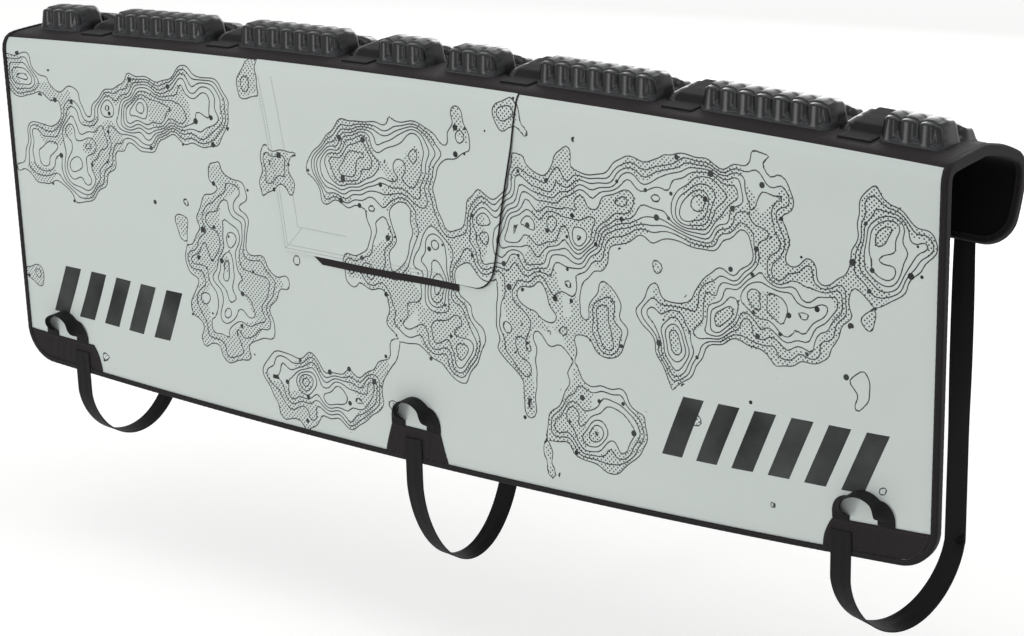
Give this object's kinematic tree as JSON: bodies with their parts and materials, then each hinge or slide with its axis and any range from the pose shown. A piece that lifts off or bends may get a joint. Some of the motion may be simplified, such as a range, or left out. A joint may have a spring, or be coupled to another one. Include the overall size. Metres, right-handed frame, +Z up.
{
  "type": "tailgate bike pad",
  "caption": "Padded cover that hangs over a pickup tailgate, with ribbed foam blocks and straps between which bikes rest, and webbing that holds it down.",
  "frame": {"origin": "the middle of the flat underside of the top panel, where the pad sits on the tailgate", "axes": "+X along the pad, +Y from the printed front panel towards the rear flap, +Z up"},
  "size_m": [1.6, 0.2545, 0.7801],
  "materials": {
    "tarpaulin": "coated woven tarpaulin, pale grey-green, printed, satin",
    "black_textile": "black woven polyester, also as folded edge tape and patches",
    "black_webbing": "black woven webbing, and hook-and-loop straps on the frame straps",
    "fleece": "black brushed fleece lining",
    "core_foam": "grey closed-cell foam sheet",
    "moulded_foam": "heat-moulded foam with a dark textured skin, semi-gloss",
    "black_plastic": "moulded black plastic"
  },
  "bodies": {
    "root": {"buckle_tab_left": "black_webbing", "buckle_tab_middle": "black_webbing", "buckle_tab_right": "black_webbing", "carry_tab": "black_webbing", "closure_tape": "black_webbing", "edge_binding": "black_textile", "fleece_lining": "fleece", "foam_front": "core_foam", "foam_top": "core_foam", "frame_saddle_1": "moulded_foam", "frame_saddle_2": "moulded_foam", "frame_saddle_3": "moulded_foam", "frame_saddle_4": "moulded_foam", "frame_saddle_5": "moulded_foam", "frame_saddle_6": "moulded_foam", "frame_strap_1": "black_webbing", "frame_strap_2": "black_webbing", "frame_strap_3": "black_webbing", "frame_strap_4": "black_webbing", "frame_strap_5": "black_webbing", "frame_strap_6": "black_webbing", "front_block_1": "moulded_foam", "front_block_2": "moulded_foam", "front_block_3": "moulded_foam", "front_block_4": "moulded_foam", "front_block_5": "moulded_foam", "front_block_6": "moulded_foam", "front_block_7": "moulded_foam", "front_block_8": "moulded_foam", "front_panel": "tarpaulin", "grab_loop_left": "black_webbing", "grab_loop_middle": "black_webbing", "grab_loop_right": "black_webbing", "hem_patch_left": "black_textile", "hem_patch_middle": "black_textile", "hem_patch_right": "black_textile", "rear_block_1": "moulded_foam", "rear_block_2": "moulded_foam", "rear_block_3": "moulded_foam", "rear_block_4": "moulded_foam", "rear_block_5": "moulded_foam", "rear_block_6": "moulded_foam", "rear_block_7": "moulded_foam", "rear_block_8": "moulded_foam", "strap_buckle_left": "black_plastic", "strap_buckle_middle": "black_plastic", "strap_buckle_right": "black_plastic", "tailgate_strap_left": "black_webbing", "tailgate_strap_middle": "black_webbing", "tailgate_strap_right": "black_webbing", "top_cover": "black_textile", "window_flap": "tarpaulin"}
  },
  "joints": []
}
